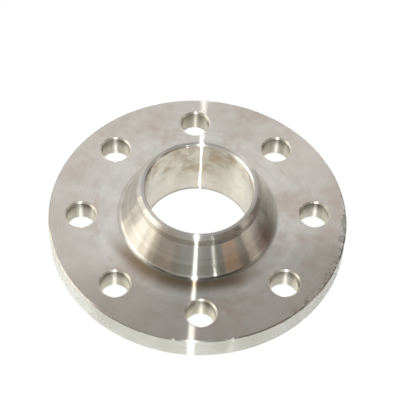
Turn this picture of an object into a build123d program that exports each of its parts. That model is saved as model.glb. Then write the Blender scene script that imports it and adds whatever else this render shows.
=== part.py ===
from build123d import *
import math
import os

os.makedirs("parts", exist_ok=True)

# Weld neck flange with a raised sealing face, nominal size 65, pressure class PN 16, in millimetres.
# The origin is the centre of the raised face. +Z runs along the pipe axis towards the weld end.

# Plate
plate_diameter = 185.0
plate_thickness = 16.0
rim_chamfer = 0.8

# Raised face, which presses on the gasket
raised_face_diameter = 122.0
raised_face_height = 2.0
raised_face_chamfer = 0.4
raised_face_root_radius = 0.8

# Bolt holes, for M16
bolt_circle_diameter = 145.0
bolt_hole_diameter = 18.0
bolt_hole_count = 8
bolt_hole_chamfer = 1.0

# Hub, which tapers from the plate to the pipe's outside diameter
hub_base_diameter = 96.0
hub_root_radius = 3.5

# Weld end and bore, for a 76.1 mm pipe with a 5 mm wall
overall_height = 45.0
pipe_outside_diameter = 76.1
pipe_wall = 5.0
straight_length = 7.3
land_diameter = 71.2
bevel_angle = 37.5
weld_end_bore_chamfer = 0.9
face_end_bore_chamfer = 0.5

plate_radius = plate_diameter / 2
raised_face_radius = raised_face_diameter / 2
bolt_hole_radius = bolt_hole_diameter / 2
hub_base_radius = hub_base_diameter / 2
neck_radius = pipe_outside_diameter / 2
land_radius = land_diameter / 2
bore_radius = neck_radius - pipe_wall
plate_top = raised_face_height + plate_thickness
hub_top = overall_height - straight_length
bevel_drop = (neck_radius - land_radius) * math.tan(math.radians(bevel_angle))


def circles(radius):
    """The circular edges of this radius on the part in hand, lowest first."""
    round_edges = edges().filter_by(GeomType.CIRCLE)
    matching = round_edges.filter_by(lambda edge: math.isclose(edge.radius, radius))
    return matching.sort_by(Axis.Z)


with BuildPart() as weld_neck_flange:
    # Half of the section through the axis, with sharp corners, turned a full circle
    with BuildSketch(Plane.XZ):
        with BuildLine():
            Polyline(
                (bore_radius, 0),
                (raised_face_radius, 0),
                (raised_face_radius, raised_face_height),
                (plate_radius, raised_face_height),
                (plate_radius, plate_top),
                (hub_base_radius, plate_top),
                (neck_radius, hub_top),
                (neck_radius, overall_height - bevel_drop),
                (land_radius, overall_height),
                (bore_radius, overall_height),
                close=True,
            )
        make_face()
    revolve(axis=Axis.Z)

    # Root radius between the hub and the plate
    fillet(circles(hub_base_radius), radius=hub_root_radius)

    # Bore ends: the weld end is opened out more than the face end
    chamfer(circles(bore_radius)[-1], length=weld_end_bore_chamfer)
    chamfer(circles(bore_radius)[0], length=face_end_bore_chamfer)

    # Both edges of the rim are broken
    chamfer(circles(plate_radius), length=rim_chamfer)

    # Raised face: a small radius where it meets the plate, and a broken outer edge
    fillet(circles(raised_face_radius)[-1], radius=raised_face_root_radius)
    chamfer(circles(raised_face_radius)[0], length=raised_face_chamfer)

    # Bolt holes right through the plate, opened out a little at both ends
    with PolarLocations(bolt_circle_diameter / 2, bolt_hole_count):
        Hole(radius=bolt_hole_radius)
    chamfer(circles(bolt_hole_radius), length=bolt_hole_chamfer)

weld_neck_flange.part.label = "weld_neck_flange"
export_step(weld_neck_flange.part, "parts/weld_neck_flange.step")
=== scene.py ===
import math
import random

import bmesh
import bpy
import numpy as np
from mathutils import Euler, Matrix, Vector


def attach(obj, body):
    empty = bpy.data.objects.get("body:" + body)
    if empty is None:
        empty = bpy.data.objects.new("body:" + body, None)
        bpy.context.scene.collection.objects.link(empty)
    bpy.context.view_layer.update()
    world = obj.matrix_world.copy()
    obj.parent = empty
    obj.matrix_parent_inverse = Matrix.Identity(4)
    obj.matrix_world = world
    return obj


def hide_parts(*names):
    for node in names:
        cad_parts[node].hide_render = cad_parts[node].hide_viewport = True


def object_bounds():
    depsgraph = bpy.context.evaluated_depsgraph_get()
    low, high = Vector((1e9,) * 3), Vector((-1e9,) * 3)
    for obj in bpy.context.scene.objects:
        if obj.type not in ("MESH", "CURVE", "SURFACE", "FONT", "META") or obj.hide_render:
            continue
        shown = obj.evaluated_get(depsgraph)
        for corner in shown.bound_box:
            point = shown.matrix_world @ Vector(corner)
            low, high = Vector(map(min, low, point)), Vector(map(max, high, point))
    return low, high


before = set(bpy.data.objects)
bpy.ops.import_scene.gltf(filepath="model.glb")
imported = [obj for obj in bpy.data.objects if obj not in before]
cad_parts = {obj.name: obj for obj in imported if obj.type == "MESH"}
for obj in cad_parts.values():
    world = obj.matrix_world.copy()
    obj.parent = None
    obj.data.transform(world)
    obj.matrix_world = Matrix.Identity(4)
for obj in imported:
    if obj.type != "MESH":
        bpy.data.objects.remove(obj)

cad_low, cad_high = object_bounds()

# Sizes in metres. The part's frame has its origin at the centre of the sealing face, with +Z towards the
# weld end.
MM = 0.001
PLATE_RADIUS = cad_high.x
HEIGHT = cad_high.z
FACE_RADIUS = 61.0 * MM
FACE_HEIGHT = 2.0 * MM
PLATE_TOP = 18.0 * MM
BOLT_CIRCLE_RADIUS = 72.5 * MM
HOLE_RADIUS = 9.0 * MM
HOLE_CHAMFER = 1.0 * MM
HOLE_COUNT = 8
HUB_BASE_RADIUS = 48.0 * MM
HUB_ROOT_RADIUS = 3.5 * MM
NECK_RADIUS = 38.05 * MM
NECK_FOOT = HEIGHT - 7.3 * MM
LAND_RADIUS = 35.6 * MM
BEVEL_ANGLE = math.radians(37.5)
BEVEL_DROP = (NECK_RADIUS - LAND_RADIUS) * math.tan(BEVEL_ANGLE)
BORE_RADIUS = 33.05 * MM
WELD_END_CHAMFER = 0.9 * MM
FACE_END_CHAMFER = 0.5 * MM
RIM_CHAMFER = 0.8 * MM
FACE_CHAMFER = 0.4 * MM
FACE_ROOT_RADIUS = 0.8 * MM
EDGE = 0.15 * MM      # the round left on a machined corner
TOOL_NOSE = 1.0 * MM  # the round that a turning tool leaves between cone and neck

# How finely the flange is divided
ROUND = 480                  # points round the axis, a multiple of twice the hole count
ARC_STEP = math.radians(12)  # turn per step on a rounded corner
SIDE_POINTS = 14             # points on the line between two holes
HOLE_RINGS = 4               # rings of faces between a hole and its surroundings
BORDER = 2.0 * MM            # width of the last ring of faces beside the rim


# --- The flange's shape ---

def rounded(corners, closed=True):
    """The line through corners (r, z, radius, surface), each corner rounded.

    Gives (r, z, surface) for each point. A line that isn't closed leaves out its first and last corner.
    """
    points = []
    count = len(corners)
    for i in range(count):
        r, z, radius, surface = corners[i]
        corner = np.array((r, z))
        if not closed and i in (0, count - 1):
            continue
        before = np.array(corners[i - 1][:2]) - corner
        after = np.array(corners[(i + 1) % count][:2]) - corner
        before /= np.linalg.norm(before)
        after /= np.linalg.norm(after)
        half = math.acos(float(before @ after)) / 2
        middle = (before + after) / np.linalg.norm(before + after)
        centre = corner + middle * radius / math.sin(half)
        start = corner + before * radius / math.tan(half) - centre
        end = corner + after * radius / math.tan(half) - centre
        first = math.atan2(start[1], start[0])
        turn = math.remainder(math.atan2(end[1], end[0]) - first, math.tau)
        steps = max(2, math.ceil(abs(turn) / ARC_STEP))
        for step in range(steps + 1):
            angle = first + turn * step / steps
            point = centre + radius * np.array((math.cos(angle), math.sin(angle)))
            points.append((*point, surface))
    return points


def section():
    """The closed outline of half the flange's section. Each corner names the surface that follows it."""
    return rounded([
        (BORE_RADIUS + FACE_END_CHAMFER, 0, EDGE, "sealing_face"),
        (FACE_RADIUS - FACE_CHAMFER, 0, EDGE, "sealing_face"),
        (FACE_RADIUS, FACE_CHAMFER, EDGE, "back_face"),
        (FACE_RADIUS, FACE_HEIGHT, FACE_ROOT_RADIUS, "back_face"),
        (PLATE_RADIUS - RIM_CHAMFER, FACE_HEIGHT, EDGE, "worn_edge"),
        (PLATE_RADIUS, FACE_HEIGHT + RIM_CHAMFER, EDGE, "rim"),
        (PLATE_RADIUS, PLATE_TOP - RIM_CHAMFER, EDGE, "rim_edge"),
        (PLATE_RADIUS - RIM_CHAMFER, PLATE_TOP, EDGE, "plate_face"),
        (HUB_BASE_RADIUS, PLATE_TOP, HUB_ROOT_RADIUS, "hub"),
        (NECK_RADIUS, NECK_FOOT, TOOL_NOSE, "neck"),
        (NECK_RADIUS, HEIGHT - BEVEL_DROP, EDGE, "bevel"),
        (LAND_RADIUS, HEIGHT, EDGE, "land"),
        (BORE_RADIUS + WELD_END_CHAMFER, HEIGHT, EDGE, "worn_edge"),
        (BORE_RADIUS, HEIGHT - WELD_END_CHAMFER, EDGE, "bore"),
        (BORE_RADIUS, FACE_END_CHAMFER, EDGE, "worn_edge"),
    ])


def hole_section():
    """The line down a bolt hole's wall, as distances from the hole's own axis."""
    mouth = HOLE_RADIUS + HOLE_CHAMFER
    return rounded([
        (2 * mouth, PLATE_TOP, 0, ""),
        (mouth, PLATE_TOP, EDGE, "bolt_hole"),
        (HOLE_RADIUS, PLATE_TOP - HOLE_CHAMFER, EDGE, "bolt_hole"),
        (HOLE_RADIUS, FACE_HEIGHT + HOLE_CHAMFER, EDGE, "bolt_hole"),
        (mouth, FACE_HEIGHT, EDGE, "bolt_hole"),
        (2 * mouth, FACE_HEIGHT, 0, ""),
    ], closed=False)


class Skin:
    """Points and faces of the flange, each face with the name of its surface."""

    def __init__(self):
        self.points = []
        self.faces = []
        self.surfaces = []

    def add(self, points):
        """Adds points and gives their numbers."""
        first = len(self.points)
        self.points.extend(tuple(p) for p in points)
        return list(range(first, len(self.points)))

    def join(self, low, high, surface):
        """Closes the band between two loops of the same length with four-sided faces."""
        for i in range(len(low)):
            k = (i + 1) % len(low)
            self.faces.append((low[i], low[k], high[k], high[i]))
            self.surfaces.append(surface)


def ring(skin, r, z):
    """Adds a ring of points round the axis."""
    angles = np.arange(ROUND) * math.tau / ROUND
    return skin.add((r * math.cos(a), r * math.sin(a), z) for a in angles)


def hole_centre(k):
    """The place of hole k's axis, as (x, y)."""
    angle = k * math.tau / HOLE_COUNT
    return BOLT_CIRCLE_RADIUS * np.array((math.cos(angle), math.sin(angle)))


def round_hole(skin, k, loop, r, z):
    """Adds a loop of points at distance r from hole k's axis, each in line with a point of the given loop."""
    centre = hole_centre(k)
    ways = np.array([skin.points[i] for i in loop])[:, :2] - centre
    ways /= np.linalg.norm(ways, axis=1, keepdims=True)
    return skin.add((centre[0] + r * x, centre[1] + r * y, z) for x, y in ways)


def holed_band(skin, inner, outer, surface, mouths=None):
    """Fills the flat band between two rings, all but the bolt holes, and gives the loops round the holes.

    Where mouths already has those loops, they are used. Otherwise they are added.
    """
    share = ROUND // HOLE_COUNT
    sides = []
    for k in range(HOLE_COUNT):
        at = k * share + share // 2
        a, b = np.array(skin.points[inner[at]]), np.array(skin.points[outer[at]])
        steps = np.arange(1, SIDE_POINTS + 1) / (SIDE_POINTS + 1)
        sides.append(skin.add(a + (b - a) * t for t in steps))
    loops = []
    for k in range(HOLE_COUNT):
        span = [(k * share + i) % ROUND for i in range(-share // 2, share // 2 + 1)]
        around = [inner[i] for i in span] + sides[k]
        around += [outer[i] for i in reversed(span)] + sides[k - 1][::-1]
        if mouths:
            mouth = mouths[k]
        else:
            r, z, _ = hole_section()[0]
            mouth = round_hole(skin, k, around, r, z)
        far = np.array([skin.points[i] for i in around])
        near = np.array([skin.points[i] for i in mouth])
        before = around
        for step in range(1, HOLE_RINGS):
            between = skin.add(far + (near - far) * step / HOLE_RINGS)
            skin.join(before, between, surface)
            before = between
        skin.join(before, mouth, surface)
        loops.append(mouth)
    return loops


def drill(skin, mouths):
    """Runs each hole's wall down from its upper edge. Gives the loops of points round the lower edges."""
    lower = []
    for k, mouth in enumerate(mouths):
        above = mouth
        for r, z, surface in hole_section()[1:]:
            below = round_hole(skin, k, mouth, r, z)
            skin.join(above, below, surface)
            above = below
        lower.append(above)
    return lower


def flange_skin():
    """The whole flange: the section turned round the axis, with drilled flats above and below."""
    skin = Skin()
    outline = section()
    rings = [ring(skin, r, z) for r, z, _ in outline]
    flats = {}
    for i, (r, z, surface) in enumerate(outline):
        k = (i + 1) % len(outline)
        crosses = min(r, outline[k][0]) < BOLT_CIRCLE_RADIUS < max(r, outline[k][0])
        if crosses:
            flats[surface] = sorted((i, k), key=lambda j: outline[j][0])
        elif surface == "rim" and outline[k][1] - z > BORDER:
            between = ring(skin, r, outline[k][1] - BORDER)
            skin.join(rings[i], between, surface)
            skin.join(between, rings[k], surface)
        else:
            skin.join(rings[i], rings[k], surface)

    def flat(surface, mouths=None):
        """Fills a flat of the plate, and gives the loops round its holes."""
        inner, outer = flats[surface]
        r, z, _ = outline[outer]
        border = ring(skin, r - BORDER, z)
        skin.join(border, rings[outer], surface)
        return holed_band(skin, rings[inner], border, surface, mouths)

    flat("back_face", drill(skin, flat("plate_face")))
    return skin


KNOCK_REACH = 1.3 * RIM_CHAMFER  # how far from the rim's upper edge a knock is felt
KNOCK_SEED = 7
SMALL_KNOCKS = 22


def knock(points, places):
    """Dents the upper edge of the rim at places (degrees round from +X, width, depth)."""
    round_rim = np.degrees(np.arctan2(points[:, 1], points[:, 0]))
    radius = np.hypot(points[:, 0], points[:, 1])
    from_edge = np.hypot(radius - PLATE_RADIUS, points[:, 2] - PLATE_TOP)
    for degrees, width, depth in places:
        along = np.radians((round_rim - degrees + 180) % 360 - 180) * PLATE_RADIUS
        share = np.exp(-((along / width) ** 2)) * np.exp(-((from_edge / KNOCK_REACH) ** 2))
        inward = 1 - share * depth / radius
        points[:, 0] *= inward
        points[:, 1] *= inward
        points[:, 2] -= share * depth
    return points


def knocks():
    """Places for knock. The large ones are on the right of the rim, the small ones all round it."""
    draw = random.Random(KNOCK_SEED)
    places = [
        (-9.0, 1.2 * MM, 0.3 * MM), (-13.5, 1.8 * MM, 0.6 * MM), (-23.5, 2.2 * MM, 1.0 * MM),
        (-27.0, 1.2 * MM, 0.6 * MM), (-50.0, 1.8 * MM, 0.7 * MM), (-53.0, 1.2 * MM, 0.5 * MM),
    ]
    for _ in range(SMALL_KNOCKS):
        places.append((draw.uniform(-180, 180), draw.uniform(0.7, 1.5) * MM, draw.uniform(0.05, 0.2) * MM))
    return places


LARGE_FACES_LEAD = 100  # the shading of a corner follows the largest face beside it


def build_flange(materials):
    """Makes the flange's one mesh, with a material for each surface."""
    skin = flange_skin()
    points = knock(np.array(skin.points), knocks())
    mesh = bpy.data.meshes.new("flange")
    mesh.from_pydata(points.tolist(), [], skin.faces)
    names = list(materials)
    for name in names:
        mesh.materials.append(materials[name])
    for face, surface in zip(mesh.polygons, skin.surfaces):
        face.material_index = names.index(surface)
        face.use_smooth = True
    bm = bmesh.new()
    bm.from_mesh(mesh)
    bmesh.ops.recalc_face_normals(bm, faces=bm.faces)
    bm.to_mesh(mesh)
    bm.free()
    flange = bpy.data.objects.new("flange_body", mesh)
    bpy.context.scene.collection.objects.link(flange)
    even = flange.modifiers.new("even_shading", "WEIGHTED_NORMAL")
    even.weight = LARGE_FACES_LEAD
    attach(flange, "root")
    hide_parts("weld_neck_flange")
    return flange


# --- Steel ---

class Nodes:
    """A short way to write the node tree of a new material or world."""

    def __init__(self, owner):
        owner.use_nodes = True
        self.tree = owner.node_tree
        self.tree.nodes.clear()

    def put(self, kind, **settings):
        """Adds a node."""
        node = self.tree.nodes.new("ShaderNode" + kind)
        for name, value in settings.items():
            setattr(node, name, value)
        return node

    def feed(self, socket, value):
        """Links a socket to another node's output, or sets it to a constant."""
        if isinstance(value, bpy.types.NodeSocket):
            self.tree.links.new(value, socket)
        elif value is not None:
            socket.default_value = value

    def fill(self, node, values):
        """Feeds a node's sockets by name, and gives its first output."""
        for name, value in values.items():
            self.feed(node.inputs[name], value)
        return node.outputs[0]

    def math(self, operation, *values, clamp=False):
        node = self.put("Math", operation=operation, use_clamp=clamp)
        for socket, value in zip(node.inputs, values):
            self.feed(socket, value)
        return node.outputs[0]

    def vector(self, operation, *values):
        node = self.put("VectorMath", operation=operation)
        sockets = node.inputs if operation != "SCALE" else (node.inputs["Vector"], node.inputs["Scale"])
        for socket, value in zip(sockets, values):
            self.feed(socket, value)
        return node.outputs["Value" if operation in ("LENGTH", "DOT_PRODUCT") else "Vector"]

    def blend(self, share, first, second, kind="MIX"):
        """The mix of two colours, with share of the second."""
        node = self.put("Mix", data_type="RGBA", blend_type=kind)
        factor, first_colour, second_colour = (node.inputs[i] for i in (0, 6, 7))
        self.feed(factor, share)
        self.feed(first_colour, first)
        self.feed(second_colour, second)
        return node.outputs[2]

    def spread(self, value, low, high, to_low=0.0, to_high=1.0):
        """Goes smoothly from to_low to to_high as value goes from low to high."""
        node = self.put("MapRange", interpolation_type="SMOOTHSTEP")
        for socket, number in zip(node.inputs, (value, low, high, to_low, to_high)):
            self.feed(socket, number)
        return node.outputs[0]

    def split(self, vector):
        """The x, y and z of a vector."""
        node = self.put("SeparateXYZ")
        self.feed(node.inputs[0], vector)
        return node.outputs

    def place(self):
        """The point on the flange, in metres from its own origin."""
        return self.put("TexCoord").outputs["Object"]

    def height(self):
        """The distance up from the sealing face."""
        return self.split(self.place())[2]

    def radius(self):
        """The distance from the flange's axis."""
        return self.vector("LENGTH", self.vector("MULTIPLY", self.place(), (1, 1, 0)))

    def noise(self, place, scale, detail=3.0, roughness=0.5, dimensions="3D"):
        """A cloudy pattern that varies about scale times in a metre."""
        return self.fill(self.put("TexNoise", noise_dimensions=dimensions), {
            "W" if dimensions == "1D" else "Vector": place,
            "Scale": scale,
            "Detail": detail,
            "Roughness": roughness,
        })

    def mix(self, share, first, second):
        """The mix of two shaders, with share of the second."""
        node = self.put("MixShader")
        for socket, value in zip(node.inputs, (share, first, second)):
            self.feed(socket, value)
        return node.outputs[0]

    def finish(self, shader, kind="OutputMaterial"):
        """Makes this shader the look of the material or the world."""
        self.feed(self.put(kind).inputs[0], shader)


HEIGHT_IN_MARKS = 0.83  # turning marks follow the distance from the axis plus this share of the height
BROAD_MARKS = 9         # fine marks to each broad one
FINE_SHARE = 0.6        # share of the fine marks in the pattern, the rest being broad ones
GROOVES = 6             # fine marks to each groove
LIGHT_MARKS = 0.8       # how far the marks go above the colour, against how far below it
MARKS_IN_ROUGHNESS = 0.10
PATCHES_IN_ROUGHNESS = 0.05
CLEAN_TINT = (1.04, 1.03, 1.02, 1)
WORN_TINT = (0.93, 0.91, 0.87, 1)
QUARTER_TURN = 0.25     # as the Principled shader counts it


def tool_path(n, drilled):
    """The distance across the tool marks, and the direction along them."""
    if drilled:
        normal = n.put("NewGeometry").outputs["Normal"]
        return n.height(), n.vector("NORMALIZE", n.vector("CROSS_PRODUCT", (0, 0, 1), normal))
    across = n.math("ADD", n.radius(), n.math("MULTIPLY", n.height(), HEIGHT_IN_MARKS))
    return across, n.put("Tangent", direction_type="RADIAL", axis="Z").outputs[0]


def tool_marks(n, across, marks):
    """A pattern of marks that differs only across the cut."""
    fine = n.noise(across, marks, 4.0, 0.7, "1D")
    broad = n.noise(across, marks / BROAD_MARKS, 2.0, 0.5, "1D")
    return n.math("ADD", n.math("MULTIPLY", fine, FINE_SHARE), n.math("MULTIPLY", broad, 1 - FINE_SHARE))


def tinted(n, colour, pattern, mark_tone, dirt_and_shade):
    """The steel's colour, with its marks, its wear, and its dirt and painted shade."""
    low, high = 1 - mark_tone, 1 + LIGHT_MARKS * mark_tone
    tone = n.blend(n.spread(pattern, 0.3, 0.7), (low, low, low, 1), (high, high, high, 1))
    shade = n.blend(1.0, colour, tone, "MULTIPLY")
    worn = n.spread(n.noise(n.place(), 60.0, 3.0, 0.6), 0.32, 0.68)
    shade = n.blend(1.0, shade, n.blend(worn, CLEAN_TINT, WORN_TINT), "MULTIPLY")
    for change in dirt_and_shade:
        shade = change(n, shade)
    return shade


def steel(name, colour, fine=0.16, wide=0.25, turned=0.93, wide_share=0.6, marks=900.0, mark_depth=0.012,
          mark_tone=0.06, drilled=False, dirt_and_shade=()):
    """Machined steel.

    fine is the roughness of the shine along the tool marks. wide, turned and wide_share are the roughness,
    the anisotropy and the share of the glow that the marks spread across them. marks is how many there are
    in a metre, mark_depth their depth in millimetres and mark_tone how much they differ in tone. The marks
    of a drilled wall run round the hole, all others round the flange. dirt_and_shade holds functions that
    each
    change the colour: some add stains, grime and specks, some add painted shade.
    """
    material = bpy.data.materials.new(name)
    n = Nodes(material)
    across, tangent = tool_path(n, drilled)
    pattern = tool_marks(n, across, marks)
    shade = tinted(n, colour, pattern, mark_tone, dirt_and_shade)
    rough = n.math("MULTIPLY_ADD", n.math("SUBTRACT", pattern, 0.5), MARKS_IN_ROUGHNESS, fine)
    rough = n.math("MULTIPLY_ADD", blotches(n, 0.47), PATCHES_IN_ROUGHNESS, rough)
    grooves = n.fill(n.put("Bump"), {
        "Height": n.noise(across, marks / GROOVES, 0.0, 0.5, "1D"),
        "Strength": 1.0,
        "Distance": mark_depth * MM,
    })
    shine = n.fill(n.put("BsdfPrincipled"), {
        "Base Color": shade,
        "Metallic": 1.0,
        "Roughness": rough,
        "Anisotropic": 1.0,
        "Anisotropic Rotation": QUARTER_TURN,
        "Tangent": tangent,
        "Normal": grooves,
    })
    glow = n.fill(n.put("BsdfAnisotropic", distribution="MULTI_GGX"), {
        "Color": shade,
        "Roughness": wide,
        "Anisotropy": turned,
        "Tangent": tangent,
        "Normal": grooves,
    })
    n.finish(n.mix(wide_share, shine, glow))
    return material


COOLANT = (0.50, 0.35, 0.28, 1)
TAN = (0.53, 0.47, 0.41, 1)
BACK_BROWN = (0.42, 0.33, 0.25, 1)
BORE_BROWN = (0.46, 0.365, 0.25, 1)
# painted shade: the hub's dark reflection in the plate, round the front of the hub
HUB_SHADE_BROWN = (0.27, 0.20, 0.13, 1)
# painted shade in the corner under the hub: a dark band, and the darker broken line above it
ROOT_SHADE = (0.20, 0.17, 0.12, 1)
ROOT_SHADE_LINE = (0.03, 0.04, 0.05, 1)
SPECK = (0.10, 0.09, 0.08, 1)
# partly grime, partly painted shade on the upper part of the drilled walls
HOLE_SOIL_AND_SHADE = (0.11, 0.095, 0.07, 1)


def towards_side(n, degrees, near, far, low=0.0, high=1.0):
    """A share that goes from low to high towards one side of the flange.

    The side is in the direction of degrees round from +X, and near and far are millimetres from the axis.
    """
    side = (math.cos(math.radians(degrees)), math.sin(math.radians(degrees)), 0)
    return n.spread(n.vector("DOT_PRODUCT", n.place(), side), near * MM, far * MM, low, high)


def blotches(n, start):
    """Mottled patches, fewer of them the higher start is."""
    patches = n.spread(n.noise(n.place(), 38.0, 5.0, 0.62), start, start + 0.2)
    return n.math("MULTIPLY", patches, n.spread(n.noise(n.place(), 120.0, 4.0, 0.6), 0.3, 0.65, 0.35))


def plate_stains(n, shade):
    """Patches of dried coolant, and a tan that grows towards the rim."""
    shade = n.blend(n.math("MULTIPLY", blotches(n, 0.46), 0.5), shade, COOLANT)
    return n.blend(n.spread(n.radius(), 56.0 * MM, 84.0 * MM, 0.0, 0.45), shade, TAN)


def back_stains(n, shade):
    """Faint brown patches."""
    return n.blend(n.math("MULTIPLY", blotches(n, 0.5), 0.3), shade, BACK_BROWN)


def bore_stains(n, shade):
    """Brown patches, mostly on the bore's upper half."""
    upper = n.spread(n.height(), 12.0 * MM, 26.0 * MM, 0.15, 1.0)
    return n.blend(n.math("MULTIPLY", blotches(n, 0.4), upper), shade, BORE_BROWN)


def painted_hub_shade(n, shade):
    """Painted shade on the plate round the front of the hub: a brown darkening that stands for the hub's dark
    reflection.
    """
    reach = n.math("MULTIPLY_ADD", n.noise(n.place(), 60.0, 3.0), 6.0 * MM, n.radius())
    near = n.spread(reach, 55.0 * MM, 64.0 * MM, 0.85, 0.0)
    return n.blend(n.math("MULTIPLY", near, towards_side(n, -105, 24, 44)), shade, HUB_SHADE_BROWN)


def root_painted_shade(n, shade):
    """Painted shade in the corner under the hub, mostly at the front: a dark band and a darker, broken line
    above it.
    """
    level = n.math("MULTIPLY_ADD", n.noise(n.place(), 90.0, 3.0), 0.6 * MM, n.height())
    shaded_band = n.spread(level, PLATE_TOP + 0.7 * MM, PLATE_TOP + 1.7 * MM, 0.85, 0.0)
    front = towards_side(n, -90, 25, 45, 0.1, 0.85)
    shade = n.blend(n.math("MULTIPLY", shaded_band, front), shade, ROOT_SHADE)
    lower_side = n.spread(level, PLATE_TOP + 0.5 * MM, PLATE_TOP + 0.9 * MM)
    upper_side = n.spread(level, PLATE_TOP + 0.9 * MM, PLATE_TOP + 1.6 * MM, 1.0, 0.0)
    line = n.math("MULTIPLY", lower_side, upper_side)
    broken = n.spread(n.noise(n.place(), 40.0, 2.0), 0.4, 0.55, 0.3, 1.0)
    darkest = towards_side(n, -95, 34, 46, 0.0, 0.85)
    return n.blend(n.math("MULTIPLY", line, n.math("MULTIPLY", broken, darkest)), shade, ROOT_SHADE_LINE)


def edge_specks(n, shade):
    """Dark specks beside the rim, where it was knocked."""
    outside = n.spread(n.radius(), 87.0 * MM, 91.5 * MM)
    beside_rim = n.math("MULTIPLY", outside, towards_side(n, -22, 70, 88))
    specks = n.spread(n.noise(n.place(), 260.0, 3.0, 0.6), 0.50, 0.62, 0.0, 0.6)
    return n.blend(n.math("MULTIPLY", specks, beside_rim), shade, SPECK)


def hole_grime_and_painted_shade(n, shade):
    """Partly grime, partly painted shade: dark streaks and patches on the upper part of a drilled wall, below
    its bright chamfer.
    """
    streaks = n.noise(n.vector("MULTIPLY", n.place(), (1, 1, 0.15)), 900.0, 3.0)
    depth = n.math("MULTIPLY_ADD", streaks, 5.0 * MM, n.math("SUBTRACT", PLATE_TOP, n.height()))
    patches = n.spread(n.noise(n.place(), 70.0, 3.0), 0.4, 0.6, 0.45, 0.85)
    below_chamfer = n.spread(n.height(), PLATE_TOP - 1.2 * MM, PLATE_TOP - 0.9 * MM, 1.0, 0.0)
    dark = n.math("MULTIPLY", n.spread(depth, 3.0 * MM, 12.0 * MM, patches, 0.0), below_chamfer)
    return n.blend(dark, shade, HOLE_SOIL_AND_SHADE)


STEEL = (0.65, 0.625, 0.58, 1)
build_flange({
    "plate_face": steel("turned_plate_face", (0.66, 0.645, 0.61, 1), fine=0.12, wide=0.18, turned=0.9,
                        wide_share=0.3, dirt_and_shade=(plate_stains, edge_specks, painted_hub_shade)),
    "hub": steel("turned_hub", STEEL, fine=0.17, wide=0.29, turned=0.895, wide_share=0.4, marks=1100.0,
                 mark_depth=0.018, mark_tone=0.12, dirt_and_shade=(root_painted_shade,)),
    "neck": steel("turned_neck", STEEL, wide_share=0.5, mark_tone=0.1),
    "bevel": steel("turned_bevel", STEEL, wide_share=0.5),
    "land": steel("turned_land", (0.71, 0.695, 0.665, 1), fine=0.34),
    "bore": steel("bored_wall", (0.78, 0.725, 0.64, 1), fine=0.18, wide=0.2, turned=0.95, wide_share=0.33,
                  dirt_and_shade=(bore_stains,)),
    "rim": steel("turned_rim", (0.57, 0.545, 0.50, 1), fine=0.25, wide_share=0.22),
    "rim_edge": steel("rim_edge", (0.42, 0.40, 0.37, 1), fine=0.2, wide=0.35, turned=0.75, wide_share=0.3),
    "worn_edge": steel("worn_edge", (0.80, 0.78, 0.74, 1), fine=0.2, wide=0.35, turned=0.75, wide_share=0.4),
    "bolt_hole": steel("drilled_wall", (0.92, 0.88, 0.79, 1), fine=0.45, wide=0.45, turned=0.7,
                       drilled=True, dirt_and_shade=(hole_grime_and_painted_shade,)),
    "back_face": steel("turned_back_face", STEEL, fine=0.3, dirt_and_shade=(back_stains,)),
    "sealing_face": steel("grooved_sealing_face", STEEL, fine=0.3, marks=1200.0),
})


# --- Studio ---

def emitter(name, colour, strength, vary=None):
    """A glowing surface that is clear from behind. vary is a function that changes the strength by place."""
    material = bpy.data.materials.new(name)
    n = Nodes(material)
    light = n.fill(n.put("Emission"), {
        "Color": colour,
        "Strength": vary(n, strength) if vary else strength,
    })
    behind = n.put("NewGeometry").outputs["Backfacing"]
    n.finish(n.mix(behind, light, n.put("BsdfTransparent").outputs[0]))
    return material


PAPER_COLOUR = (0.64, 0.67, 0.68, 1)
PAPER_GLOW = 0.22
CLEAR_WITHIN = 3.0 * MM  # the paper is clear to a surface that is nearer than this


def white_paper():
    """Paper that light falls on. It is clear from behind, and to the flange's underside just above it."""
    material = bpy.data.materials.new("white_paper")
    n = Nodes(material)
    lit = n.put("AddShader")
    n.feed(lit.inputs[0], n.fill(n.put("BsdfDiffuse"), {"Color": PAPER_COLOUR}))
    n.feed(lit.inputs[1], n.fill(n.put("Emission"), {"Strength": PAPER_GLOW}))
    near = n.math("LESS_THAN", n.put("LightPath").outputs["Ray Length"], CLEAR_WITHIN)
    clear = n.math("MAXIMUM", near, n.put("NewGeometry").outputs["Backfacing"])
    n.finish(n.mix(clear, lit.outputs[0], n.put("BsdfTransparent").outputs[0]))
    return material


def sheet(name, draw, material, z=0.0):
    """A flat stage piece at height z. draw adds its outline to an empty bmesh."""
    mesh = bpy.data.meshes.new(name)
    bm = bmesh.new()
    draw(bm)
    bm.to_mesh(mesh)
    bm.free()
    piece = bpy.data.objects.new(name, mesh)
    piece.location.z = z
    piece.data.materials.append(material)
    bpy.context.scene.collection.objects.link(piece)
    return piece


def disc(name, radius, z, material):
    """A round sheet with its centre on the flange's axis."""
    def draw(bm):
        bmesh.ops.create_circle(bm, cap_ends=True, radius=radius, segments=64)
    return sheet(name, draw, material, z)


def square(name, side, material):
    """A square sheet, centred on its origin."""
    def draw(bm):
        bmesh.ops.create_grid(bm, x_segments=1, y_segments=1, size=side / 2)
    return sheet(name, draw, material)


# The floor that the camera sees, and a sheet of white paper just under it that the steel mirrors
WHITE = (1, 1, 1, 1)
FLOOR_RADIUS = 12.0
FLOOR_LIGHT = 1.02
PAPER_RADIUS = 0.22
PAPER_GAP = 0.2 * MM
floor = disc("floor", FLOOR_RADIUS, 0, emitter("white_floor", WHITE, FLOOR_LIGHT))
floor.visible_glossy = False
floor.visible_diffuse = False
floor.visible_shadow = False
paper = disc("paper", PAPER_RADIUS, -PAPER_GAP, white_paper())
paper.visible_camera = False

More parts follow.
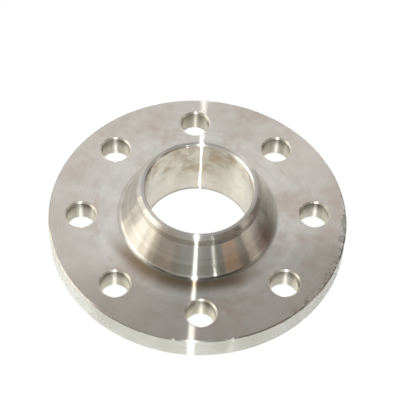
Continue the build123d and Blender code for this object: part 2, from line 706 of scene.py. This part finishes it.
# A white board over the back of the flange, which the back and the sides of the plate mirror
BOARD_COLOUR = (0.98, 0.985, 1, 1)
BOARD_LIGHT = 1.03
BOARD_SIZE = 0.85
BOARD_HEIGHT = 0.3
BOARD_EDGE = Vector((-0.175, 0.140))  # the middle of its front edge
BOARD_TURN = math.radians(8.8)
FRONT_STRIP = 0.14                    # the light falls off over this distance from the front edge
FRONT_LIGHT = 0.85                    # what is left of the light at the edge
SIDE_STRIP = (0.17, 0.27)             # the light also drops a little across here, from the board's middle
SIDE_LIGHT = 0.95


def falloff(n, full):
    """The board's light, which is full but towards its front edge and, a little, towards one side."""
    x, y, _ = n.split(n.place())
    front = BOARD_SIZE / 2
    forwards = n.spread(y, front - FRONT_STRIP, front, full, FRONT_LIGHT * full)
    return n.math("MULTIPLY", forwards, n.spread(x, *SIDE_STRIP, 1.0, SIDE_LIGHT))


board = square("board", BOARD_SIZE, emitter("white_board", BOARD_COLOUR, BOARD_LIGHT, falloff))
board.rotation_euler = (math.pi, 0, BOARD_TURN)  # its glowing side faces down
board.location = (
    BOARD_EDGE.x - math.sin(BOARD_TURN) * BOARD_SIZE / 2,
    BOARD_EDGE.y + math.cos(BOARD_TURN) * BOARD_SIZE / 2,
    PLATE_TOP + BOARD_HEIGHT,
)
board.visible_camera = False

# The room round the flange, as the steel mirrors it. Each stretch of wall starts at an angle in degrees
# from +X and has one colour at eye level, and another higher up.
ROOM = [
    # window, with its frame and glazing bars
    (-180, (2.7, 2.7, 2.5)),
    (-172, (1.9, 1.85, 1.6)),
    (-167, (2.3, 2.2, 1.9)),
    (-160, (1.3, 1.15, 0.9)),
    (-156, (0.75, 0.62, 0.46)),
    # cupboards
    (-149, (0.42, 0.34, 0.27)),
    (-137, (0.46, 0.35, 0.27)),
    (-124, (0.33, 0.27, 0.22)),
    # open doorway behind the camera
    (-114, (0.34, 0.36, 0.33)),
    (-85, (0.30, 0.32, 0.30)),
    (-70, (0.42, 0.44, 0.40)),
    (-66, (0.30, 0.28, 0.26)),
    # wooden door
    (-57, (0.64, 0.38, 0.22)),
    (-37, (0.26, 0.20, 0.15)),
    (-30, (0.13, 0.10, 0.08)),
    (-27, (0.30, 0.24, 0.19)),
    # curtain
    (-24, (0.82, 0.70, 0.54)),
    (-10, (0.52, 0.44, 0.38)),
    # brick
    (-6, (0.46, 0.24, 0.20)),
    (3, (0.22, 0.09, 0.05)),
    (16, (0.20, 0.17, 0.12)),
    (28, (0.46, 0.43, 0.38)),
    (38, (0.60, 0.58, 0.54)),
    # pale wall behind the flange
    (55, (1.1, 1.08, 1.02)),
    (140, (1.45, 1.42, 1.35)),
    # white board beside the window
    (151, (2.9, 2.75, 2.35)),
    (157, (2.7, 2.6, 2.2)),
    (166, (2.6, 2.5, 2.1)),
    (174, (2.9, 2.8, 2.5)),
]
# The same walls higher up, with some of their edges at other angles
ROOM_HIGH_UP = [
    (-180, (2.7, 2.65, 2.5)),
    (-168, (1.9, 1.8, 1.5)),
    (-159, (0.85, 0.75, 0.58)),
    (-148, (0.64, 0.58, 0.45)),
    (-135, (0.74, 0.67, 0.55)),
    (-120, (0.72, 0.73, 0.64)),
    (-105, (0.76, 0.80, 0.76)),
    (-80, (0.62, 0.70, 0.67)),
    (-66, (0.36, 0.36, 0.31)),
    (-52, (0.32, 0.26, 0.18)),
    (-39, (0.42, 0.26, 0.14)),
    (-28, (0.10, 0.06, 0.03)),
    (-17, (0.98, 0.82, 0.62)),
    (-6, (0.66, 0.50, 0.40)),
    (3, (0.32, 0.15, 0.10)),
    (12, (0.26, 0.15, 0.08)),
    (28, (0.38, 0.35, 0.31)),
    (38, (0.58, 0.56, 0.52)),
    (55, (0.9, 0.88, 0.83)),
    (140, (1.2, 1.17, 1.1)),
    (151, (2.5, 2.4, 2.1)),
    (163, (2.7, 2.6, 2.3)),
]
BRIGHTEST = 4.0
GROUND = (0.8, 0.4)  # brightness below the flange, on the left and on the right
DARK_SHAPE = (0.05, 0.07, 0.10, 1)  # what hangs over the camera
CEILING_LEFT = (0.52, 0.46, 0.40, 1)
CEILING_RIGHT = (0.465, 0.465, 0.46, 1)
BACKDROP = (1.02, 1.02, 1.02, 1)  # what the camera sees past the floor

# Where one part of the room changes into the next, as the upward part of a direction of length 1
GROUND_ENDS = (-0.45, -0.3)
WALLS_PALER = (0.03, 0.12)
PALE_HIGH_UP = 0.6  # how much of their colour the walls lose above that
WALLS_CHANGE = (0.22, 0.4)
CEILING_STARTS = (0.8, 0.95)
CEILING_TILT = 0.3  # the ceiling starts lower at the back by this much
CEILING_SIDES = (-0.35, 0.05)  # its left side turns into its right side here, in the same measure along +X
DARK_SHAPE_ELEVATION = 78.0
DARK_SHAPE_EDGE = (0.95, 0.975)  # cosine of the angle from the shape's middle

CAMERA_AZIMUTH = -3.89
CAMERA_ELEVATION = 54.0
CAMERA_DISTANCE = 1.024
CAMERA_LENS = 148.5
CAMERA_ROLL = 3.13
AIM_UP = 0.497     # degrees that the camera points above the plate's centre
AIM_RIGHT = 0.073  # and to the right of it


def towards(azimuth, elevation):
    """Direction out from the flange, with azimuth 0 on the -Y side and 90 on the +X side."""
    a, e = math.radians(azimuth), math.radians(elevation)
    return Vector((math.sin(a) * math.cos(e), -math.cos(a) * math.cos(e), math.sin(e)))


def stretches(n, around, colours):
    """The walls' colour, as a share of BRIGHTEST. around goes once round the room from 0 to 1."""
    walls = n.put("ValToRGB")
    n.feed(walls.inputs[0], around)
    ramp = walls.color_ramp
    ramp.interpolation = "CONSTANT"
    while len(ramp.elements) < len(colours):
        ramp.elements.new(0.5)
    for element, (degrees, colour) in zip(ramp.elements, colours):
        element.position = (degrees + 180) / 360
        element.color = (*(c / BRIGHTEST for c in colour), 1)
    return walls.outputs[0]


def light_room():
    """The world: walls, ground and ceiling for the steel to mirror, and white where the camera sees it."""
    world = bpy.data.worlds.new("room")
    bpy.context.scene.world = world
    n = Nodes(world)
    way_out = n.put("TexCoord").outputs["Generated"]
    x, y, z = n.split(way_out)
    around = n.math("MULTIPLY_ADD", n.math("ARCTAN2", y, x), 1 / math.tau, 0.5)
    at_eye_level, high_up = stretches(n, around, ROOM), stretches(n, around, ROOM_HIGH_UP)
    walls = n.blend(n.spread(z, *WALLS_CHANGE), at_eye_level, high_up)
    lit_walls = n.vector("SCALE", walls, BRIGHTEST)
    grey = n.fill(n.put("RGBToBW"), {"Color": lit_walls})
    lit_walls = n.blend(n.spread(z, *WALLS_PALER, 0.0, PALE_HIGH_UP), lit_walls, grey)
    ground = n.spread(x, -1.0, 1.0, *GROUND)
    lit_walls = n.blend(n.spread(z, *GROUND_ENDS), ground, lit_walls)
    ceiling = n.blend(n.spread(x, *CEILING_SIDES), CEILING_LEFT, CEILING_RIGHT)
    level = n.math("MULTIPLY_ADD", y, CEILING_TILT, z)
    room = n.blend(n.spread(level, *CEILING_STARTS), lit_walls, ceiling)
    shape_way = towards(CAMERA_AZIMUTH, DARK_SHAPE_ELEVATION)
    towards_shape = n.vector("DOT_PRODUCT", way_out, shape_way)
    room = n.blend(n.spread(towards_shape, *DARK_SHAPE_EDGE), room, DARK_SHAPE)
    seen = n.put("LightPath").outputs["Is Camera Ray"]
    background = n.fill(n.put("Background"), {"Color": n.blend(seen, room, BACKDROP)})
    n.finish(background, "OutputWorld")


def place_camera():
    """Puts the camera where the photograph was taken from."""
    data = bpy.data.cameras.new("camera")
    data.lens = CAMERA_LENS
    camera = bpy.data.objects.new("camera", data)
    back = towards(CAMERA_AZIMUTH, CAMERA_ELEVATION)
    camera.location = Vector((0, 0, PLATE_TOP)) + back * CAMERA_DISTANCE
    level = (-back).to_track_quat("-Z", "Y").to_matrix()
    roll = Euler((0, 0, math.radians(CAMERA_ROLL))).to_matrix()
    up = Euler((math.radians(AIM_UP), 0, 0)).to_matrix()
    right = Euler((0, math.radians(-AIM_RIGHT), 0)).to_matrix()
    camera.rotation_mode = "QUATERNION"
    camera.rotation_quaternion = (level @ roll @ up @ right).to_quaternion()
    bpy.context.scene.collection.objects.link(camera)
    bpy.context.scene.camera = camera


LAMP_COLOUR = (0.94, 0.98, 1.0)
FLASH_ELEVATION = 60.0  # the flash is a little above the camera
FLASH_DISTANCE = 1.1


def lamp(name, azimuth, elevation, distance, width, watts, mirrored=True):
    """A small square lamp that faces the flange. One that isn't mirrored lights the paper alone."""
    data = bpy.data.lights.new(name, "AREA")
    data.size = width
    data.energy = watts
    data.color = LAMP_COLOUR
    light = bpy.data.objects.new(name, data)
    out = towards(azimuth, elevation)
    light.location = Vector((0, 0, PLATE_TOP)) + out * distance
    light.rotation_mode = "QUATERNION"
    light.rotation_quaternion = (-out).to_track_quat("-Z", "Y")
    light.visible_glossy = mirrored
    bpy.context.scene.collection.objects.link(light)


light_room()
flash_place = (CAMERA_AZIMUTH, FLASH_ELEVATION, FLASH_DISTANCE)
lamp("flash", *flash_place, width=0.048, watts=4.2)
lamp("flash_on_paper", *flash_place, width=0.03, watts=10.0, mirrored=False)
lamp("second_lamp", azimuth=20.5, elevation=16.0, distance=3.0, width=0.12, watts=3.4)
place_camera()
bpy.context.scene.view_settings.view_transform = "Standard"
